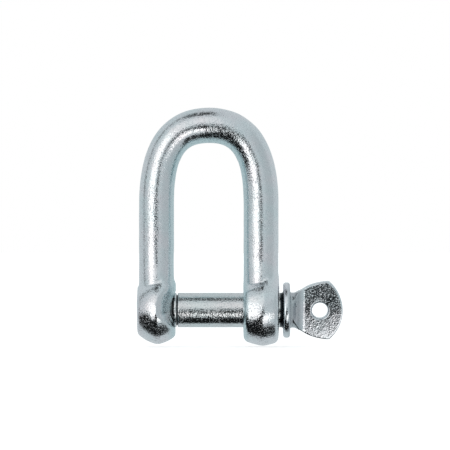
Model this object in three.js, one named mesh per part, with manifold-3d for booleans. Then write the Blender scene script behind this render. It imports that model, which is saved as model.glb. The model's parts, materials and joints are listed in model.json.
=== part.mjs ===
// Screw-pin dee shackle of nominal size 10: a forged body with a tapped ear and a plain ear,
// and a screw pin with a collar and a flattened eye. Millimetres, +Z up towards the bow.
// The pin's axis is X, with the eye at the +X end. The origin is the inside of the bow's crown.
import * as THREE from 'three';
import { mergeVertices } from 'three/addons/utils/BufferGeometryUtils.js';
import Module from 'manifold-3d';

const wasm = await Module();
wasm.setup();

// The bent bar. Heights are measured from the pin's axis.
const BAR = 10;
const BAR_SIDES = 28;
const LEG_X = 14.8;
const LEG_TOP = 30;
const CROWN_TOP = 57.4;
const BEND_RISE = 16;
const BEND_REACH = 9.25;
const BAR_STEPS = 58;

// The ears, turned about the pin's axis, and their holes. A rim's points are shares of the half
// width and of the radius. The tapped ear's inner land is flat for LAND_WIDTH each side of its
// middle, and then falls away at the slope TAPER.
const LEFT_RIM = [[0.92, 0.74], [0.67, 0.832], [0.34, 0.932], [0.05, 1]];
const RIGHT_RIM = [[0.94, 0.765], [0.78, 0.86], [0.56, 0.93], [0.3, 0.98], [0.05, 1]];
const LEFT_EAR = { x: -LEG_X, half: 5.6, radius: 9.65, rim: LEFT_RIM };
const RIGHT_EAR = { x: LEG_X, half: 5.2, radius: 10.1, rim: RIGHT_RIM };
const EAR_LAND = 0.68;
const LAND_WIDTH = 3.2;
const TAPER = 0.6;
const HOLE_RADIUS = 5.3;
const HOLE_CHAMFER = 0.5;
const COUNTERBORE_DEPTH = 2;

// The screw thread, a metric 10 by 1.5.
const PITCH = 1.5;
const THREAD_RADIUS = 4.9;
const THREAD_DEPTH = 0.81;
const THREAD_SIDES = 18;
const TOOTH = [0, 0.25, 0.5625, 0.6875];
const CLEARANCE = 0.3;

// The pin, from its threaded tip to its eye.
const TIP_X = -19.7;
const SHANK_X = -8.8;
const SHANK_RADIUS = 4.9;
const SHOULDER_WIDTH = 0.5;
const SHOULDER_ROUND = 0.3;
const COLLAR_X = 21.05;
const COLLAR_WIDTH = 1.95;
const COLLAR_RADIUS = 7.85;
const COLLAR_ROUND = 0.45;
const NECK_RADIUS = 5.07;
const NECK_FILLET = 0.7;
const ROUND_SIDES = 36;

// The flattened eye.
const EYE_THICKNESS = 4;
const EYE_FLARE = [[24.7, 5.2], [27.3, 6.6], [30.4, 7.8]];
const EYE_CORNER_Z = 8.4;
const EYE_ARC_RADIUS = 10.7;
const EYE_ARC_X = 27.2;
const EYE_HOLE_X = 31.45;
const EYE_HOLE_RADIUS = 2.25;
const SCOOP = { x: 28.4, y: 6.8, radius: 5 };
const EYE_TILT = THREE.MathUtils.degToRad(5);

const ZINC = { color: 0xb3bec4, roughness: 0.34, metalness: 0.95 };
const BRIGHT_ZINC = { color: 0xbcc6ca, roughness: 0.3, metalness: 0.95 };

// A closed geometry as a solid that can be joined and cut.
function solid(geometry) {
  geometry.deleteAttribute('normal');
  geometry.deleteAttribute('uv');
  const merged = mergeVertices(geometry);
  const corners = merged.index.array;
  const kept = [];
  for (let i = 0; i < corners.length; i += 3) {
    const [a, b, c] = corners.slice(i, i + 3);
    if (a !== b && b !== c && c !== a) kept.push(a, b, c);
  }
  return new wasm.Manifold(new wasm.Mesh({
    numProp: 3,
    vertProperties: merged.attributes.position.array,
    triVerts: new Uint32Array(kept),
  }));
}

// A solid as a named mesh with a material of its own.
function piece(name, shape, look) {
  const result = shape.getMesh();
  const geometry = new THREE.BufferGeometry();
  geometry.setAttribute('position', new THREE.BufferAttribute(result.vertProperties, 3));
  geometry.setIndex(new THREE.BufferAttribute(result.triVerts, 1));
  geometry.computeVertexNormals();
  const mesh = new THREE.Mesh(geometry, new THREE.MeshStandardMaterial(look));
  mesh.name = name;
  return mesh;
}

// A profile of [x, radius] points turned about the X axis.
function turned(profile, sides = ROUND_SIDES) {
  const points = profile.map(([x, radius]) => new THREE.Vector2(radius, x));
  return solid(new THREE.LatheGeometry(points, sides).rotateZ(-Math.PI / 2));
}

// A right-handed threaded rod along X, longer than it is used, to be trimmed or cut with.
// Its skin is one band of tooth points that climbs a pitch at each turn.
function threadedRod(crest, fromX, toX) {
  const turns = Math.ceil((toX - fromX) / PITCH) + 2;
  const rows = TOOTH.length;
  const root = crest - THREAD_DEPTH;
  const radii = [root, root, crest, crest];
  const startX = Math.floor(fromX / PITCH - 1) * PITCH;
  const positions = [];
  const place = (column, share, radius) => {
    const angle = (2 * Math.PI * column) / THREAD_SIDES;
    const x = startX + PITCH * (column / THREAD_SIDES + share);
    positions.push(x, radius * Math.cos(angle), radius * Math.sin(angle));
  };
  const columns = turns * THREAD_SIDES;
  for (let column = 0; column < columns + THREAD_SIDES; column += 1) {
    place(column, 0, radii[0]);
    for (let row = 1; row < rows && column < columns; row += 1) {
      place(column, TOOTH[row], radii[row]);
    }
  }
  const full = columns * rows;
  const vertex = (column, row) => {
    if (row === rows) return vertex(column + THREAD_SIDES, 0);
    return column < columns ? column * rows + row : full + column - columns;
  };
  const faces = [];
  for (let column = 0; column < columns - 1; column += 1) {
    for (let row = 0; row < rows; row += 1) {
      const [a, b] = [vertex(column, row), vertex(column + 1, row)];
      const [c, d] = [vertex(column + 1, row + 1), vertex(column, row + 1)];
      faces.push(a, b, c, a, c, d);
    }
  }
  const last = columns - 1;
  const startRing = [];
  const endRing = [];
  for (let step = 0; step <= THREAD_SIDES; step += 1) startRing.push(vertex(step, 0));
  for (let row = rows - 1; row > 0; row -= 1) startRing.push(vertex(0, row));
  for (let row = 0; row < rows; row += 1) endRing.push(vertex(last, row));
  for (let step = THREAD_SIDES; step > 0; step -= 1) endRing.push(vertex(last + step, 0));
  const centres = full + THREAD_SIDES;
  positions.push(startX, 0, 0, startX + PITCH * turns, 0, 0);
  startRing.forEach((from, i) => {
    faces.push(centres, startRing[(i + 1) % startRing.length], from);
  });
  endRing.forEach((from, i) => {
    faces.push(centres + 1, endRing[(i + 1) % endRing.length], from);
  });
  const geometry = new THREE.BufferGeometry();
  geometry.setAttribute('position', new THREE.Float32BufferAttribute(positions, 3));
  geometry.setIndex(faces);
  return solid(geometry);
}

// The bar's centre line: up one leg, round the bend and down the other leg.
function barPath() {
  const crown = CROWN_TOP - BAR / 2;
  const at = (x, z) => new THREE.Vector3(x, 0, z);
  const path = new THREE.CurvePath();
  path.add(new THREE.LineCurve3(at(-LEG_X, 0), at(-LEG_X, LEG_TOP)));
  path.add(new THREE.CubicBezierCurve3(
    at(-LEG_X, LEG_TOP), at(-LEG_X, LEG_TOP + BEND_RISE), at(-BEND_REACH, crown), at(0, crown)));
  path.add(new THREE.CubicBezierCurve3(
    at(0, crown), at(BEND_REACH, crown), at(LEG_X, LEG_TOP + BEND_RISE), at(LEG_X, LEG_TOP)));
  path.add(new THREE.LineCurve3(at(LEG_X, LEG_TOP), at(LEG_X, 0)));
  return path;
}

function bar() {
  const section = new THREE.Shape().absarc(0, 0, BAR / 2, 0, 2 * Math.PI);
  return solid(new THREE.ExtrudeGeometry(section, {
    steps: BAR_STEPS,
    curveSegments: BAR_SIDES / 2,
    extrudePath: barPath(),
  }));
}

// One ear: a disc with flat side lands and a rim that swells to a ridge around its middle.
function ear({ x, half, radius, rim }) {
  const side = [[1, 0], [1, EAR_LAND], ...rim];
  const left = side.map(([across, out]) => [x - across * half, out * radius]);
  const right = side.map(([across, out]) => [x + across * half, out * radius]).reverse();
  return turned([...left, ...right]);
}

// The waste beside the tapped ear's inner land: the face falls away towards the front and back.
function innerTaper({ x, half, radius }) {
  const inner = x + half;
  const section = new THREE.Shape();
  section.moveTo(inner, LAND_WIDTH);
  section.lineTo(inner + half, LAND_WIDTH);
  section.lineTo(inner + half, radius + half);
  section.lineTo(inner - TAPER * (radius + half - LAND_WIDTH), radius + half);
  const height = 2 * radius;
  return new THREE.ExtrudeGeometry(section, { depth: height, bevelEnabled: false })
    .translate(0, 0, -height / 2);
}

// The plain hole's cutter, with a chamfer at each face of the right ear.
function plainHole({ x, half }) {
  const wide = HOLE_RADIUS + HOLE_CHAMFER;
  const [near, far] = [x - half, x + half];
  const past = 1;
  return turned([
    [near - past, 0], [near - past, wide + past], [near + HOLE_CHAMFER, HOLE_RADIUS],
    [far - HOLE_CHAMFER, HOLE_RADIUS], [far + past, wide + past], [far + past, 0],
  ]);
}

// The tapped hole's cutter: the thread, a counterbore for the pin's shoulder, and a mouth chamfer.
function tappedHole({ x, half }) {
  const [outer, inner] = [x - half, x + half];
  const bore = HOLE_RADIUS;
  const wide = bore + HOLE_CHAMFER;
  const past = 1;
  const counterbore = turned([
    [inner - COUNTERBORE_DEPTH - HOLE_CHAMFER, 0], [inner - COUNTERBORE_DEPTH, bore],
    [inner - HOLE_CHAMFER, bore], [inner + past, wide + past], [inner + past, 0],
  ]);
  const mouth = turned([
    [outer - past, 0], [outer - past, wide + past], [outer + wide - THREAD_RADIUS, THREAD_RADIUS],
    [outer + wide, 0],
  ]);
  return threadedRod(THREAD_RADIUS + CLEARANCE, outer, inner).add(counterbore).add(mouth);
}

function body() {
  const tappedEar = ear(LEFT_EAR)
    .subtract(solid(innerTaper(LEFT_EAR)))
    .subtract(solid(innerTaper(LEFT_EAR).rotateX(Math.PI)));
  return bar()
    .add(tappedEar)
    .add(ear(RIGHT_EAR))
    .subtract(tappedHole(LEFT_EAR))
    .subtract(plainHole(RIGHT_EAR));
}

// The pin's threaded end, trimmed to its length with a chamfered tip and a plain shoulder.
function pinThread() {
  const end = SHANK_X - CLEARANCE;
  const root = THREAD_RADIUS - THREAD_DEPTH;
  const outline = turned([
    [TIP_X, 0], [TIP_X, root], [TIP_X + THREAD_DEPTH, THREAD_RADIUS + CLEARANCE],
    [end - SHOULDER_WIDTH, THREAD_RADIUS + CLEARANCE], [end - SHOULDER_WIDTH, 0],
  ]);
  const shoulder = turned([
    [end - SHOULDER_WIDTH - THREAD_DEPTH, 0], [end - SHOULDER_WIDTH - THREAD_DEPTH, root],
    [end - SHOULDER_WIDTH, SHANK_RADIUS], [end - SHOULDER_ROUND, SHANK_RADIUS],
    [end, SHANK_RADIUS - SHOULDER_ROUND], [end, 0],
  ]);
  return threadedRod(THREAD_RADIUS, TIP_X, end).intersect(outline).add(shoulder);
}

function pinShank() {
  const end = COLLAR_X - CLEARANCE;
  const lead = 0.5;
  return turned([
    [SHANK_X, 0], [SHANK_X, SHANK_RADIUS - lead], [SHANK_X + lead, SHANK_RADIUS],
    [end, SHANK_RADIUS], [end, 0],
  ]);
}

// The collar with rounded rims, and the root of the neck that rises from it in a fillet.
function collar() {
  const [near, far] = [COLLAR_X, COLLAR_X + COLLAR_WIDTH];
  return turned([
    [near, 0], [near, COLLAR_RADIUS - COLLAR_ROUND], [near + COLLAR_ROUND, COLLAR_RADIUS],
    [far - COLLAR_ROUND, COLLAR_RADIUS], [far, COLLAR_RADIUS - COLLAR_ROUND],
    [far, NECK_RADIUS + NECK_FILLET], [far + NECK_FILLET / 3, NECK_RADIUS + NECK_FILLET / 3],
    [far + NECK_FILLET, NECK_RADIUS], [far + NECK_FILLET, 0],
  ]);
}

// The eye's outline in X and Z: a neck that flares to two corners, closed by one round end.
function eyeOutline() {
  const corner = Math.asin(EYE_CORNER_Z / EYE_ARC_RADIUS);
  const cornerX = EYE_ARC_X + EYE_ARC_RADIUS * Math.cos(corner);
  const edge = [...EYE_FLARE, [cornerX, EYE_CORNER_Z]];
  const lower = edge.map(([x, z]) => new THREE.Vector2(x, -z));
  const upper = edge.map(([x, z]) => new THREE.Vector2(x, z)).reverse();
  const outline = new THREE.Shape();
  outline.moveTo(COLLAR_X + COLLAR_WIDTH / 2, NECK_RADIUS);
  outline.lineTo(COLLAR_X + COLLAR_WIDTH / 2, -NECK_RADIUS);
  outline.lineTo(lower[0].x, lower[0].y);
  outline.splineThru(lower.slice(1));
  outline.absarc(EYE_ARC_X, 0, EYE_ARC_RADIUS, -corner, corner);
  outline.splineThru(upper.slice(1));
  const hole = new THREE.Path();
  hole.absarc(EYE_HOLE_X, 0, EYE_HOLE_RADIUS, 0, 2 * Math.PI, true);
  outline.holes.push(hole);
  return outline;
}

// The waste beside the eye: a flat cut that meets a round scoop at the neck in a crease.
function scoop() {
  const face = EYE_THICKNESS / 2;
  const tip = EYE_ARC_X + 2 * EYE_ARC_RADIUS;
  const crease = Math.asin((SCOOP.y - face) / SCOOP.radius);
  const section = new THREE.Shape();
  section.moveTo(tip, SCOOP.y);
  section.lineTo(SCOOP.x - SCOOP.radius, SCOOP.y);
  section.absarc(SCOOP.x, SCOOP.y, SCOOP.radius, Math.PI, Math.PI + crease);
  section.lineTo(tip, face);
  const height = 4 * EYE_CORNER_Z;
  const options = { depth: height, bevelEnabled: false, curveSegments: 6 };
  return new THREE.ExtrudeGeometry(section, options).translate(0, 0, -height / 2);
}

// The collar, the round neck and the flat eye, which rests turned a little past upright.
function pinEye() {
  const deep = 2 * NECK_RADIUS;
  const options = { depth: deep, bevelEnabled: false, curveSegments: 8 };
  const blank = new THREE.ExtrudeGeometry(eyeOutline(), options).translate(0, 0, -deep / 2);
  const cornerRadius = Math.hypot(EYE_CORNER_Z, EYE_THICKNESS);
  const neckEnd = EYE_FLARE[0][0];
  const envelope = turned([
    [COLLAR_X, 0], [COLLAR_X, NECK_RADIUS], [neckEnd, NECK_RADIUS],
    [neckEnd + cornerRadius / 2, cornerRadius], [neckEnd + 2 * cornerRadius, cornerRadius],
    [neckEnd + 2 * cornerRadius, 0],
  ]);
  return solid(blank.rotateX(Math.PI / 2))
    .subtract(solid(scoop()))
    .subtract(solid(scoop().rotateX(Math.PI)))
    .intersect(envelope)
    .add(collar());
}

const shackle = new THREE.Group();
shackle.add(piece('shackle_body', body(), ZINC));
shackle.add(piece('pin_shank', pinShank(), BRIGHT_ZINC));
shackle.add(piece('pin_thread', pinThread(), BRIGHT_ZINC));
const eye = piece('pin_eye', pinEye(), BRIGHT_ZINC);
eye.rotation.x = EYE_TILT;
shackle.add(eye);
shackle.position.z = BAR - CROWN_TOP;

export default shackle;
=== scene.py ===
"""A forged, zinc-plated screw-pin dee shackle, standing on a plain pale floor."""
import json
import math

import bmesh
import bpy
import numpy as np
from mathutils import Matrix, Vector, noise


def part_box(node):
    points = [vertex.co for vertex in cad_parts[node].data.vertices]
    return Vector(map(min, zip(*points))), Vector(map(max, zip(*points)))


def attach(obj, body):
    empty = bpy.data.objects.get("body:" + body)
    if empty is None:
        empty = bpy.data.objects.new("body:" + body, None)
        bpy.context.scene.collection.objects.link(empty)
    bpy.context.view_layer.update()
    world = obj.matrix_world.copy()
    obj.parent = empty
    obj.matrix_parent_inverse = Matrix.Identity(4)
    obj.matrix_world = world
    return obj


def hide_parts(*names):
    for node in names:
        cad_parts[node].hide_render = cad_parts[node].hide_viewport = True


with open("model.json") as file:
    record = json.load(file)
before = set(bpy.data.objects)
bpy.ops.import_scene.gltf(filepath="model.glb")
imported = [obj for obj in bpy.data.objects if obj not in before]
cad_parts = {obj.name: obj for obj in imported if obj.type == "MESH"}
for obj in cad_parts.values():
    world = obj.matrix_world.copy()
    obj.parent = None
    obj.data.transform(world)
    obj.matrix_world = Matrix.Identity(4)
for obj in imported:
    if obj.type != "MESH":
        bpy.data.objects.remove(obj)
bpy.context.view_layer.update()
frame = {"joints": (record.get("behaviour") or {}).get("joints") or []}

MM = 0.001
JOINT = {joint["name"]: joint for joint in frame["joints"]}
PIN_AXIS = Vector(JOINT["pin_turn"]["pos_m"])
PITCH = 1.5

# The bent bar, in millimetres from the pin's axis. The bend's two shoulders are thinner inside.
BAR_RADIUS = 5.0
LEG_X = 14.8
LEG_TOP = 30.0
CROWN = 52.4
BEND_RISE = 16.0
BEND_REACH = 9.25
BEND_CENTRE = 38.5
SHOULDER_THIN = 0.3

# The ears. The rim falls away from a ridge in two facets. The facet on the -X side ends at the
# top in a slanted shoulder. The ears' sides are dished in towards their edges, and the tapped
# ear's inner side also tapers towards the front and back. Each leg swells into a foot on its ear.
LEFT_EAR = {"half": 5.6, "radius": 9.63, "ridge": 0.35, "slope": 0.21, "crown": 0.065,
            "corner": 0.7, "taper": 0.055, "creased": -1}
RIGHT_EAR = {"half": 5.2, "radius": 10.08, "ridge": -0.5, "slope": 0.18, "crown": 0.022,
             "corner": 1.3, "taper": 0.0, "creased": 1}
RIDGE_ROUND = 0.6
SHOULDER_HEIGHT = 7.3
SHOULDER_SLANT = 0.44
SHOULDER_LEAN = (0.475, 0.88)
SHOULDER_FADE = 2.5
EAR_DISH = 0.0036
FOOT_TOP = 15.0
FOOT_FULL = 6.0
FOOT_SWELL = 0.19
HOLE_RADIUS = 5.3
HOLE_CHAMFER = 0.6
COUNTERBORE_DEPTH = 2.0
THREAD_RADIUS = 4.9
THREAD_DEPTH = 0.81
TOOTH_START, CREST_START, CREST_END = 0.25, 0.5625, 0.6875
CLEARANCE = 0.3

# The pin, from its threaded tip to its eye. The eye's blank flares from the neck to two corners
# and ends in an arc. Its envelope is a turned shape that rounds the blank's edges.
TIP_X = -19.7
SHANK_X = -8.8
SHANK_RADIUS = 4.9
COLLAR_X = 21.05
COLLAR_END_X = 23.0
COLLAR_RADIUS = 7.85
NECK_RADIUS = 5.0
NECK_END_X = COLLAR_END_X + 0.7
EYE_FLARE = [(NECK_END_X, NECK_RADIUS), (24.7, 5.15), (25.9, 5.6), (27.3, 6.5), (28.7, 7.2),
             (30.4, 7.7), (32.0, 8.05)]
EYE_CORNER_Z = 8.25
EYE_TIP_X = 27.2
EYE_TIP_RADIUS = 10.7
EYE_ENVELOPE = [(24.4, NECK_RADIUS), (29.0, 9.2), (40.0, 9.5)]
EYE_TILT = math.radians(5)
EYE_HALF = 2.0
EYE_HOLE_X = 31.45
EYE_HOLE_RADIUS = 2.25
EYE_CROWNING = 0.13
EYE_CROWN_Z = 3.0
EYE_CROWN_REACH = 8.0
SCOOP_X = 28.4
SCOOP_Y = 6.8
SCOOP_RADIUS = 5.0

# The sizes of the plating's patterns, in millimetres.
TONE_SIZE = 6.0
MOTTLE_SIZE = 0.45
PATCH_SIZE = 4.5
SPECK_SIZE = 0.36
POLISH_SIZE = 1.6
GRAIN_SIZE = 0.38
WAVE_SIZE = 2.6
STREAK_SIZE = 0.5

FLOOR_GAP = 0.3 * MM


# ---- mesh helpers -------------------------------------------------------------------------

def mesh_object(name, points, faces):
    """A mesh object from points in millimetres, measured from the pin's axis."""
    mesh = bpy.data.meshes.new(name)
    mesh.from_pydata((np.asarray(points) * MM + np.array(PIN_AXIS)).tolist(), [], faces)
    made = bpy.data.objects.new(name, mesh)
    bpy.context.scene.collection.objects.link(made)
    build = bmesh.new()
    build.from_mesh(mesh)
    bmesh.ops.recalc_face_normals(build, faces=build.faces)
    build.to_mesh(mesh)
    build.free()
    return made


def skin(rings):
    """Quads between neighbouring closed rings of equal length, and a fan to each end's middle."""
    sides = len(rings[0])
    points = np.concatenate([*rings, [rings[0].mean(axis=0)], [rings[-1].mean(axis=0)]])
    around = np.arange(sides)
    after = (around + 1) % sides
    faces = []
    for i in range(len(rings) - 1):
        a, b = i * sides, (i + 1) * sides
        faces += np.stack([a + around, a + after, b + after, b + around], axis=1).tolist()
    first, last = len(points) - 2, len(points) - 1
    end = (len(rings) - 1) * sides
    faces += [[first, int(j), int(i)] for i, j in zip(around, after)]
    faces += [[last, int(end + i), int(end + j)] for i, j in zip(around, after)]
    return points, faces


def turned(name, profile, sides=128):
    """A profile of (x, radius) points turned about the pin's axis."""
    angles = np.linspace(0, 2 * np.pi, sides, endpoint=False)
    circle = np.stack([np.zeros(sides), np.cos(angles), np.sin(angles)], axis=1)
    rings = [circle * radius + np.array([x, 0, 0]) for x, radius in profile]
    return mesh_object(name, *skin(rings))


def arc(x, radius, size, start, end, steps=8):
    """Points of a fillet or round in a turned profile, about (x, radius), angles in degrees."""
    angles = np.radians(np.linspace(start, end, steps))
    return [(x + size * math.cos(a), radius + size * math.sin(a)) for a in angles]


def prism(name, outline, low, high, axis):
    """A closed outline of two coordinates, extruded between two levels along Y or Z."""
    flat = np.array(outline)
    rings = []
    for level in (low, high):
        level = np.full(len(flat), level)
        columns = [flat[:, 0], level, flat[:, 1]] if axis == "Y" else [*flat.T, level]
        rings.append(np.stack(columns, axis=1))
    count = len(flat)
    faces = [list(range(count)), list(range(count, 2 * count))]
    faces += [[i, (i + 1) % count, count + (i + 1) % count, count + i] for i in range(count)]
    return mesh_object(name, np.concatenate(rings), faces)


def threaded_rod(name, crest, low, high, sides=64):
    """A right-hand threaded rod, in step with the pin's thread in the frame."""
    root = crest - THREAD_DEPTH
    tooth = [(0, root), (TOOTH_START, root), (CREST_START, crest), (CREST_END, crest)]
    start = math.floor(low / PITCH - 1) * PITCH
    turns = math.ceil((high - low) / PITCH) + 2
    columns = turns * sides
    points, index = [], {}
    for column in range(columns + sides):
        rows = tooth if column < columns else tooth[:1]
        angle = 2 * math.pi * column / sides
        for row, (share, radius) in enumerate(rows):
            index[column, row] = len(points)
            x = start + PITCH * (column / sides + share)
            points.append((x, radius * math.cos(angle), radius * math.sin(angle)))
        if column >= sides:
            index[column - sides, len(tooth)] = index[column, 0]
    faces = []
    for column in range(columns - 1):
        for row in range(len(tooth)):
            corners = [(column, row), (column + 1, row), (column + 1, row + 1), (column, row + 1)]
            faces.append([index[corner] for corner in corners])
    last = columns - 1
    ring = [index[step, 0] for step in range(sides + 1)]
    ring += [index[0, row] for row in range(len(tooth) - 1, 0, -1)]
    far = [index[last, row] for row in range(len(tooth))]
    far += [index[last + step, 0] for step in range(sides, 0, -1)]
    for loop, x in ((ring, start), (far, start + PITCH * turns)):
        points.append((x, 0, 0))
        middle = len(points) - 1
        faces += [[middle, a, b] for a, b in zip(loop, loop[1:] + loop[:1])]
    return mesh_object(name, points, faces)


def apply_modifiers(piece):
    """Bakes the piece's modifiers into its mesh."""
    graph = bpy.context.evaluated_depsgraph_get()
    piece.data = bpy.data.meshes.new_from_object(piece.evaluated_get(graph), depsgraph=graph)
    piece.modifiers.clear()


def combine(piece, tool, operation):
    """Joins, cuts or trims the piece with a tool mesh, and removes the tool."""
    modifier = piece.modifiers.new(operation.lower(), "BOOLEAN")
    modifier.object = tool
    modifier.operation = operation
    modifier.solver = "EXACT"
    apply_modifiers(piece)
    bpy.data.objects.remove(tool)


def turn_about_pin(piece, angle, axis):
    """Turns the piece's mesh about an axis through the middle of the pin."""
    turn = Matrix.Rotation(angle, 4, axis)
    piece.data.transform(Matrix.Translation(PIN_AXIS) @ turn @ Matrix.Translation(-PIN_AXIS))


def smooth_shaded(piece, crease=35):
    piece.data.shade_smooth()
    piece.data.set_sharp_from_angle(angle=math.radians(crease))


def soften(piece, voxel, rounds):
    """Remeshes the piece evenly and rounds its edges, as forging and plating do."""
    remesh = piece.modifiers.new("even", "REMESH")
    remesh.mode = "VOXEL"
    remesh.voxel_size = voxel * MM
    round_off = piece.modifiers.new("round", "SMOOTH")
    round_off.factor = 0.5
    round_off.iterations = rounds
    apply_modifiers(piece)


# ---- the forged body ----------------------------------------------------------------------

def soft_min(a, b, reach):
    share = np.clip(0.5 + 0.5 * (b - a) / reach, 0, 1)
    return b * (1 - share) + a * share - reach * share * (1 - share)


def soft_max(a, b, reach):
    return -soft_min(-a, -b, reach)


def ear_and_leg(across, deep, height, ear):
    """Below 0 inside the ear and its leg. across is towards the other leg, deep is front to
    back, and height is from the pin's axis."""
    out = np.hypot(deep, height)
    beside = np.hypot(across - ear["ridge"], RIDGE_ROUND) - RIDGE_ROUND
    rim = ear["radius"] - ear["slope"] * beside - ear["crown"] * beside ** 2
    dish = EAR_DISH * out ** 2
    taper = ear["taper"] * (1 - 0.75 * np.clip(-(height + 1) / 4, 0, 1))
    side = np.where(across > 0, across + taper * deep ** 2, -across) + dish - ear["half"]
    disc = soft_max(0.95 * (out - rim), side, ear["corner"])
    shoulder = SHOULDER_HEIGHT - SHOULDER_SLANT * beside
    front = np.sqrt(np.maximum(0, rim ** 2 - shoulder ** 2))
    smooth_side = np.maximum(0, ear["creased"] * (ear["ridge"] - across))
    forward, upward = SHOULDER_LEAN
    cut = upward * (height - shoulder) + forward * (np.abs(deep) - front)
    disc = soft_max(disc, cut - SHOULDER_FADE * smooth_side, 0.3)
    foot = np.clip((FOOT_TOP - height) / (FOOT_TOP - FOOT_FULL), 0, 1)
    swell = 1 + FOOT_SWELL * foot * foot * (3 - 2 * foot)
    bar = np.hypot(across, deep / swell) - BAR_RADIUS
    joined = soft_min(bar + np.maximum(0, -height), disc, 0.3 + np.minimum(smooth_side, 1.5))
    return soft_max(joined, np.abs(across) - ear["half"] + 0.02, 0.15)


def ring_radii(directions, height, ear, reach=12.0):
    """How far the surface is from the leg's middle in each direction, by halving."""
    low, high = np.zeros(len(directions)), np.full(len(directions), reach)
    for _ in range(26):
        middle = (low + high) / 2
        across, deep = (directions * middle[:, None]).T
        inside = ear_and_leg(across, deep, height, ear) < 0
        low, high = np.where(inside, middle, low), np.where(inside, high, middle)
    return low


def bend_point(share):
    """A point on the bend's centre line and the direction of travel, from left leg to right.
    Each half is a cubic curve, and the right one mirrors the left."""
    handles = np.array([(-LEG_X, LEG_TOP), (-LEG_X, LEG_TOP + BEND_RISE), (-BEND_REACH, CROWN),
                        (0, CROWN)])
    side = 1 if share <= 0.5 else -1
    t = 2 * share if side == 1 else 2 - 2 * share
    at = np.array([(1 - t) ** 3, 3 * (1 - t) ** 2 * t, 3 * (1 - t) * t * t, t ** 3]) @ handles
    along = np.array([(1 - t) ** 2, 2 * (1 - t) * t, t * t]) @ (handles[1:] - handles[:-1])
    along = along / np.linalg.norm(along) * side
    return np.array([at[0] * side, at[1]]), np.array([along[0] * side, along[1]])


def hammered(points, size=5.5, depth=0.07):
    """Moves each point inwards a little, by a slow random amount, as forging leaves a surface."""
    lowered = []
    for point in map(Vector, points):
        middle = Vector((math.copysign(LEG_X, point.x), 0, point.z))
        if point.z > LEG_TOP:
            bend_foot = Vector((0, 0, LEG_TOP))
            outward = Vector((point.x, 0, point.z - LEG_TOP)).normalized()
            middle = bend_foot + outward * LEG_X
        inward = (middle - point).normalized()
        lowered.append(point + inward * depth * (1 + noise.noise(point / size)))
    return np.array(lowered)


def forged_body():
    """The whole bent bar as one skin of rings, up the left leg, over the bend and down the right."""
    sides = 144
    angles = np.linspace(0, 2 * np.pi, sides, endpoint=False)
    directions = np.stack([np.cos(angles), np.sin(angles)], axis=1)

    def ring(centre, inward, radii):
        offset = directions * radii[:, None]
        return np.stack([centre[0] + offset[:, 0] * inward[0], offset[:, 1],
                         centre[1] + offset[:, 0] * inward[1]], axis=1)

    def leg(side, ear):
        """Rings up a leg, close together as far as the top of its foot."""
        fine, coarse, foot_end = 0.22, 0.5, 14
        lowest = ear["radius"] - 0.004
        bottom = [-lowest * math.cos(a) for a in np.linspace(0.05, np.pi / 2, 44)]
        foot = np.arange(fine, foot_end, fine).tolist()
        rise = np.arange(foot_end, LEG_TOP - 0.1, coarse).tolist()
        rings = []
        for height in bottom + foot + rise:
            radii = ring_radii(directions, height, ear)
            rings.append(ring((side * LEG_X, height), (-side, 0), radii))
        return rings

    rings = leg(-1, LEFT_EAR)
    for share in np.linspace(0, 1, 110):
        centre, along = bend_point(share)
        thinned = SHOULDER_THIN * math.sin(2 * math.pi * share) ** 2 * np.maximum(0, directions[:, 0])
        rings.append(ring(centre, (along[1], -along[0]), BAR_RADIUS - thinned))
    rings += reversed(leg(1, RIGHT_EAR))
    points, faces = skin(rings)
    return mesh_object("forged_body", hammered(points), faces)


def drill_body(body):
    """Taps the left ear and bores the right one, with the counterbore and chamfers."""
    past = 1.5
    wide = HOLE_RADIUS + HOLE_CHAMFER
    outer, inner = -LEG_X - LEFT_EAR["half"], -LEG_X + LEFT_EAR["half"]
    combine(body, threaded_rod("tap", THREAD_RADIUS + CLEARANCE, outer, inner), "DIFFERENCE")
    bottom = inner - COUNTERBORE_DEPTH
    counterbore = [(bottom - 0.5, 0.01), (bottom - 0.5, HOLE_RADIUS - 0.5), (bottom, HOLE_RADIUS),
                   (inner - HOLE_CHAMFER, HOLE_RADIUS), (inner + past, wide + past)]
    combine(body, turned("counterbore", counterbore), "DIFFERENCE")
    mouth = [(outer - past, wide + past), (outer + 0.9, THREAD_RADIUS - 0.3), (outer + 1.0, 0.01)]
    combine(body, turned("mouth", mouth), "DIFFERENCE")
    near, far = LEG_X - RIGHT_EAR["half"], LEG_X + RIGHT_EAR["half"]
    bore = [(near - past, wide + past), (near + 0.5, HOLE_RADIUS), (far - 0.5, HOLE_RADIUS),
            (far + past, wide + past)]
    combine(body, turned("bore", bore), "DIFFERENCE")


# ---- the screw pin ------------------------------------------------------------------------

def pin_shank():
    """The plain shank. A spigot fills the gap to the thread, and a fillet meets the collar."""
    spigot = SHANK_RADIUS - 0.6
    start = SHANK_X - CLEARANCE + 0.02
    edge, fillet = 0.3, 0.55
    profile = [(start, 0.01), (start, spigot), (SHANK_X + 0.02, spigot)]
    profile += arc(SHANK_X + 0.02 + edge, SHANK_RADIUS - edge, edge, 180, 90, 5)
    profile += [(x, SHANK_RADIUS) for x in np.linspace(SHANK_X + 0.8, COLLAR_X - 0.6, 60)]
    profile += arc(COLLAR_X - fillet, SHANK_RADIUS + fillet, fillet, 270, 355, 7)
    profile += [(COLLAR_X + 0.05, SHANK_RADIUS + 0.12)]
    return turned("pin_shank_plated", profile)


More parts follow.
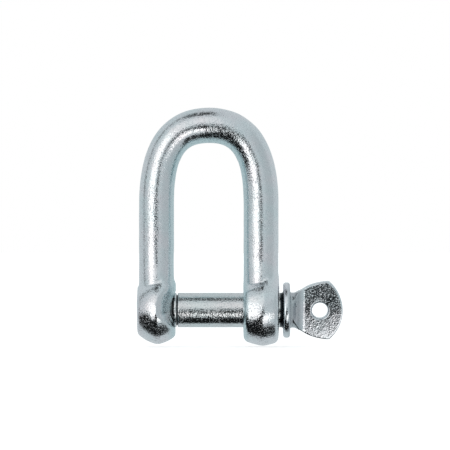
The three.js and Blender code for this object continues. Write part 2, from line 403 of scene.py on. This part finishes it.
def pin_thread():
    """The threaded end, with a chamfered tip and a plain shoulder where it meets the shank."""
    end = SHANK_X - CLEARANCE
    root = THREAD_RADIUS - THREAD_DEPTH
    outside = THREAD_RADIUS + 0.1
    core = 3.6
    outline = [(TIP_X, 0.01), (TIP_X, root - 0.25), (TIP_X + 1.1, outside),
               (end - 0.95, outside), (end - 0.15, root), (end + 0.1, root)]
    thread = threaded_rod("pin_thread_plated", THREAD_RADIUS, TIP_X, end)
    combine(thread, turned("thread_outline", outline), "INTERSECT")
    shoulder = [(end - 0.8, core), *arc(end - 0.55, SHANK_RADIUS - 0.25, 0.2, 180, 90, 5),
                *arc(end - 0.28, SHANK_RADIUS - 0.33, 0.28, 90, 0, 7), (end, core)]
    combine(thread, turned("shoulder", shoulder), "UNION")
    return thread


def eye_outline():
    """The blank's outline in X and Z."""
    corner = math.degrees(math.asin(EYE_CORNER_Z / EYE_TIP_RADIUS))
    tip = arc(EYE_TIP_X, 0, EYE_TIP_RADIUS, -corner, corner, 40)
    upper = [*reversed(EYE_FLARE), (COLLAR_X + 1, NECK_RADIUS)]
    lower = [(x, -z) for x, z in reversed(upper)]
    return [*lower, *tip, *upper]


def collar_profile():
    """The collar's rim is a squared-off round, and the neck rises from it in a fillet."""
    middle, half = (COLLAR_X + COLLAR_END_X) / 2, (COLLAR_END_X - COLLAR_X) / 2
    bulge, squared = 1.0, 0.7
    profile = [(COLLAR_X, 0.01)]
    for angle in np.linspace(np.pi, 0, 25):
        across = math.copysign(abs(math.cos(angle)) ** squared, math.cos(angle))
        inward = bulge * (1 - math.sin(angle) ** squared)
        profile.append((middle + half * across, COLLAR_RADIUS - inward))
    profile += arc(COLLAR_END_X + 0.5, NECK_RADIUS + 0.5, 0.5, 180, 270)
    return [*profile, (NECK_END_X, 0.01)]


def eye_blank():
    """The eye before drilling: a flat blank, scooped thinner towards its tip on both faces."""
    eye = prism("pin_eye_plated", eye_outline(), -NECK_RADIUS, NECK_RADIUS, "Y")
    past = 45
    crease = 180 + math.degrees(math.asin((SCOOP_Y - EYE_HALF) / SCOOP_RADIUS))
    scoop = [(past, SCOOP_Y), *arc(SCOOP_X, SCOOP_Y, SCOOP_RADIUS, 180, crease, 24), (past, EYE_HALF)]
    for side in (-1, 1):
        outline = [(x, y * side) for x, y in scoop]
        combine(eye, prism("scoop", outline, -12, 12, "Z"), "DIFFERENCE")
    envelope = [(COLLAR_X, 0.01), (COLLAR_X, NECK_RADIUS), *EYE_ENVELOPE, (EYE_ENVELOPE[-1][0], 0.01)]
    combine(eye, turned("envelope", envelope), "INTERSECT")
    return eye


def crown_faces(eye):
    """Thins the eye away from a level a little above its middle, so that its faces are crowned."""
    for vertex in eye.data.vertices:
        share = (vertex.co.z - PIN_AXIS.z - EYE_CROWN_Z * MM) / (EYE_CROWN_REACH * MM)
        vertex.co.y *= 1 - EYE_CROWNING * share ** 2


def drill_eye(eye):
    """Drills the eye's hole, countersunk a little on both faces."""
    past, deep = 9, EYE_HALF - 0.5
    wide = EYE_HOLE_RADIUS + past - deep
    countersunk = [(-past, wide), (-deep, EYE_HOLE_RADIUS), (deep, EYE_HOLE_RADIUS), (past, wide)]
    hole = turned("hole", countersunk, 64)
    turn_about_pin(hole, math.pi / 2, "Z")
    hole.data.transform(Matrix.Translation((EYE_HOLE_X * MM, 0, 0)))
    combine(eye, hole, "DIFFERENCE")


def pin_eye():
    """The flattened eye with its neck and collar."""
    eye = eye_blank()
    soften(eye, voxel=0.15, rounds=16)
    crown_faces(eye)
    combine(eye, turned("collar", collar_profile()), "UNION")
    drill_eye(eye)
    soften(eye, voxel=0.13, rounds=2)
    turn_about_pin(eye, EYE_TILT, "X")
    return eye


# ---- materials ----------------------------------------------------------------------------

class Nodes:
    """A short way to write a node tree."""

    def __init__(self, tree):
        self.tree = tree
        tree.nodes.clear()

    def add(self, kind, inputs=None, **settings):
        node = self.tree.nodes.new(kind)
        for key, value in settings.items():
            setattr(node, key, value)
        for key, value in (inputs or {}).items():
            if isinstance(value, bpy.types.NodeSocket):
                self.tree.links.new(value, node.inputs[key])
            else:
                node.inputs[key].default_value = value
        return node

    def math(self, operation, *values):
        return self.add("ShaderNodeMath", dict(enumerate(values)), operation=operation).outputs[0]


def zinc(name, colour, roughness, specks, grain_depth, streaks, streak_shape, crevice_shade=(),
         inside_bow_shade=False):
    """Bright zinc plate: bluish and glossy, with a fine grain and matt specks that break up
    reflections. The crevice rings are (x, half width, strength), in millimetres, of painted shade:
    near-black colour painted where shade falls in grooves and hollows. The inside-bow option paints
    shade, tinted teal, on the side of the bar that faces the opening."""
    material = bpy.data.materials.new(name)
    material.use_nodes = True
    make = Nodes(material.node_tree)
    place = make.add("ShaderNodeTexCoord").outputs["Object"]

    def pattern(size_mm, detail, stretch=(1, 1, 1)):
        scale = [value / (size_mm * MM) for value in stretch]
        mapped = make.add("ShaderNodeMapping", {"Vector": place, "Scale": scale}).outputs[0]
        inputs = {"Vector": mapped, "Scale": 1.0, "Detail": detail}
        return make.add("ShaderNodeTexNoise", inputs).outputs["Fac"]

    def remap(value, low, high, start=0.3, end=0.7):
        inputs = {"Value": value, "From Min": start, "From Max": end, "To Min": low, "To Max": high}
        return make.add("ShaderNodeMapRange", inputs).outputs["Result"]

    def blend(share, first, second):
        inputs = {"Factor": share, "A": first, "B": second}
        return make.add("ShaderNodeMix", inputs, data_type="RGBA").outputs[2]

    def shade(*factors):
        return (*(part * factor for part, factor in zip(colour, factors)), 1)

    tone, mottle, patch = pattern(TONE_SIZE, 2), pattern(MOTTLE_SIZE, 3), pattern(PATCH_SIZE, 1)
    base = blend(remap(tone, 0, 1), shade(1.03, 0.99, 1.01), shade(0.93, 0.99, 1.0))
    base = blend(remap(mottle, 0, 0.3, 0.5, 0.75), base, shade(0.5, 0.55, 0.6))
    parts = make.add("ShaderNodeSeparateXYZ", {0: place}).outputs
    # Painted shade: each crevice ring blends the colour towards near-black where shade falls in a
    # groove or hollow.
    for x, half, strength in crevice_shade:
        away = make.math("ABSOLUTE", make.math("SUBTRACT", parts["X"], x * MM))
        share = remap(away, 0, strength, 1.3 * half * MM, 0.75 * half * MM)
        base = blend(share, base, (0.02, 0.026, 0.03, 1))
    # Painted shade, tinted teal, on the inner side of the bow near the opening, where the bar shades
    # itself.
    if inside_bow_shade:
        centre = PIN_AXIS.z + BEND_CENTRE * MM
        above = make.math("MAXIMUM", make.math("SUBTRACT", parts["Z"], centre), 0.0)
        flat = make.add("ShaderNodeCombineXYZ", {"X": parts["X"], "Z": above}).outputs[0]
        reach = make.add("ShaderNodeVectorMath", {0: flat}, operation="LENGTH").outputs["Value"]
        inside = remap(reach, 0, 1, 11.7 * MM, 9.9 * MM)
        base = blend(inside, base, shade(0.74, 0.89, 0.91))
    fewer = make.math("SUBTRACT", specks, remap(patch, 0.06, 0.0))
    speck = make.math("ADD", pattern(SPECK_SIZE, 1), fewer)
    polish = remap(pattern(POLISH_SIZE, 3), roughness - 0.04, roughness + 0.04)
    rough = make.math("ADD", polish, remap(speck, 0, 0.38, 0.5, 0.58))
    depth = make.math("MULTIPLY", remap(patch, 0.6, 1.5), grain_depth)
    grains = make.math("MULTIPLY", pattern(GRAIN_SIZE, 0), depth)
    waves = make.math("MULTIPLY", pattern(WAVE_SIZE, 1), 0.04)
    lines = make.math("MULTIPLY", pattern(STREAK_SIZE, 2, streak_shape), streaks)
    height = make.math("ADD", make.math("ADD", grains, waves), lines)
    bump = make.add("ShaderNodeBump", {"Strength": 1.0, "Distance": MM, "Height": height})
    surface = make.add("ShaderNodeBsdfPrincipled", {
        "Base Color": base, "Metallic": 1.0, "Roughness": rough, "Normal": bump.outputs[0]})
    make.add("ShaderNodeOutputMaterial", {"Surface": surface.outputs[0]})
    return material


# ---- studio -------------------------------------------------------------------------------

# The light tent. A direction in it has two angles: how far off the camera's side of the object,
# and which way round from +X towards +Z. Each row is a panel: where it starts, is full, stays
# full until and ends off the camera's side, then its middle and half width round, and its
# brightness. A row covers the ones above it.
TENT = [
    (13, 22, 36, 66, 173, 52, 1.56),    # tall soft box on the left
    (58, 72, 89, 103, 98, 8, 0.06),     # gap overhead
    (5, 20, 30, 78, 108, 26, 0.92),     # soft box above the camera
    (82, 87, 91, 97, 145, 34, 0.22),    # thin gap on the left
    (14, 50, 84, 98, 0, 40, 0.56),      # darker wall on the right
    (-2, -1, 14, 20, 270, 60, 0.02),    # the camera's own shadow
    (-2, -1, 6, 11, 90, 58, 0.08),      # the shadow's upper end
    (-2, -1, 11, 17, 68, 15, 0.05),     # the shadow's upper corner on the right
    (49, 59, 93, 103, 268, 34, 0.01),   # black card below
    (4, 11, 93, 103, 249, 19, 0.01),    # its left half, nearer the camera
    (44, 54, 93, 103, 214, 19, 0.01),   # its far edge on the left
    (60, 70, 94, 103, 297, 12, 0.03),   # its far edge on the right
    (17, 24, 37, 47, 300, 28, 1.50),    # small reflector in front of the card
]
TENT_FRONT, TENT_BACK = 0.68, 0.69
TENT_EDGE = 9


def studio_world():
    """Lights the object with the tent. The camera itself sees plain white."""
    world = bpy.data.worlds.new("studio")
    world.use_nodes = True
    bpy.context.scene.world = world
    make = Nodes(world.node_tree)
    direction = make.add("ShaderNodeTexCoord").outputs["Generated"]
    parts = make.add("ShaderNodeSeparateXYZ", {0: direction}).outputs
    off = make.math("DEGREES", make.math("ARCCOSINE", make.math("MULTIPLY", parts["Y"], -1.0)))
    flat = make.add("ShaderNodeCombineXYZ", {"X": parts["X"], "Z": parts["Z"]}).outputs[0]
    round_way = make.add("ShaderNodeVectorMath", {0: flat}, operation="NORMALIZE").outputs[0]

    def fade(value, outside, inside):
        inputs = {"Value": value, "From Min": outside, "From Max": inside, "To Min": 0.0, "To Max": 1.0}
        return make.add("ShaderNodeMapRange", inputs, interpolation_type="SMOOTHSTEP").outputs["Result"]

    plain = {"Factor": fade(off, 100.0, 125.0), "A": TENT_FRONT, "B": TENT_BACK}
    light = make.add("ShaderNodeMix", plain).outputs[0]
    for start, full, keep, end, turn, spread, value in TENT:
        heading = (math.cos(math.radians(turn)), 0, math.sin(math.radians(turn)))
        both_ways = {0: round_way, 1: heading}
        toward = make.add("ShaderNodeVectorMath", both_ways, operation="DOT_PRODUCT").outputs["Value"]
        edge, inside = (math.cos(math.radians(spread + more)) for more in (TENT_EDGE, 0))
        mask = make.math("MULTIPLY", fade(off, start, full), fade(off, end, keep))
        mask = make.math("MULTIPLY", mask, fade(toward, edge, inside))
        light = make.add("ShaderNodeMix", {"Factor": mask, "A": light, "B": value}).outputs[0]
    cool, warm, white = (0.90, 1.0, 1.035, 1), (1.0, 0.995, 0.985, 1), (1, 1, 1, 1)
    tints = {"Factor": fade(light, 0.6, 1.1), "A": cool, "B": warm}
    tint = make.add("ShaderNodeMix", tints, data_type="RGBA").outputs[2]
    camera_ray = make.add("ShaderNodeLightPath").outputs["Is Camera Ray"]
    seen = make.add("ShaderNodeMix", {"Factor": camera_ray, "A": light, "B": 1.0})
    colours = {"Factor": camera_ray, "A": tint, "B": white}
    colour = make.add("ShaderNodeMix", colours, data_type="RGBA").outputs[2]
    shade = make.add("ShaderNodeBackground", {"Color": colour, "Strength": seen.outputs[0]})
    make.add("ShaderNodeOutputWorld", {"Surface": shade.outputs[0]})


def pale_floor(height):
    """A wide pale floor just under the ears. The metal mirrors the light tent and not the floor."""
    mesh = bpy.data.meshes.new("floor")
    build = bmesh.new()
    bmesh.ops.create_circle(build, cap_ends=True, segments=96, radius=3.0)
    build.to_mesh(mesh)
    build.free()
    floor = bpy.data.objects.new("floor", mesh)
    floor.location.z = height
    bpy.context.scene.collection.objects.link(floor)
    material = bpy.data.materials.new("floor_paper")
    material.use_nodes = True
    make = Nodes(material.node_tree)
    paper = make.add("ShaderNodeBsdfDiffuse", {"Color": (0.9, 0.87, 0.86, 1)})
    glow = make.add("ShaderNodeEmission", {"Color": (1, 1, 1, 1), "Strength": 0.6})
    both = make.add("ShaderNodeAddShader", {0: paper.outputs[0], 1: glow.outputs[0]})
    make.add("ShaderNodeOutputMaterial", {"Surface": both.outputs[0]})
    mesh.materials.append(material)
    floor.visible_glossy = False


def camera():
    """Level and in front, aimed a little right of the bow's middle and above the pin."""
    distance, width = 0.9, 0.1275
    aside, above = 0.0046, 0.0241
    data = bpy.data.cameras.new("camera")
    data.sensor_width = 36.0
    data.lens = data.sensor_width * distance / width
    data.clip_end = 20
    made = bpy.data.objects.new("camera", data)
    made.location = (aside, -distance, PIN_AXIS.z + above)
    made.rotation_euler = (math.pi / 2, 0, 0)
    bpy.context.scene.collection.objects.link(made)
    bpy.context.scene.camera = made


# ---- putting it together ------------------------------------------------------------------

camera()
studio_world()
pale_floor(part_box("shackle_body")[0][2] - FLOOR_GAP)
bpy.context.scene.view_settings.view_transform = "Standard"

# The body's inside-bow option paints shade, tinted teal, on the inner side of the bow.
BODY_ZINC = zinc("body_zinc", colour=(0.78, 0.79, 0.80), roughness=0.14, specks=-0.02,
                 grain_depth=0.037, streaks=0.005, streak_shape=(1, 1, 0.07), inside_bow_shade=True)
# The pin's crevice rings are painted shade: at the gap between thread and shank, on the thread's
# shoulder, and in the groove under the collar.
PIN_ZINC = zinc("pin_zinc", colour=(0.74, 0.75, 0.745), roughness=0.14, specks=-0.03,
                grain_depth=0.04, streaks=0.012, streak_shape=(0.1, 1, 1),
                crevice_shade=[(SHANK_X - 0.1, 0.22, 0.95), (SHANK_X - 1.4, 0.3, 0.9),
                          (COLLAR_X - 0.4, 0.5, 1)])
# The eye's crevice ring is painted shade at its neck, where the scoops begin.
EYE_ZINC = zinc("eye_zinc", colour=(0.75, 0.77, 0.785), roughness=0.13, specks=-0.03,
                grain_depth=0.028, streaks=0.004, streak_shape=(0.12, 1, 1),
                crevice_shade=[(24.2, 1.6, 0.3)])

body = forged_body()
drill_body(body)
shank, thread, eye = pin_shank(), pin_thread(), pin_eye()
for piece, node, rides, slot, material in [
    (body, "shackle_body", "body", "body_zinc", BODY_ZINC),
    (shank, "pin_shank", "pin_carrier", "pin_zinc", PIN_ZINC),
    (thread, "pin_thread", "pin_screw", "pin_zinc", PIN_ZINC),
    (eye, "pin_eye", "pin_screw", "pin_zinc", EYE_ZINC),
]:
    smooth_shaded(piece)
    piece.data.materials.clear()
    piece.data.materials.append(material)
    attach(piece, rides)
    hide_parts(node)
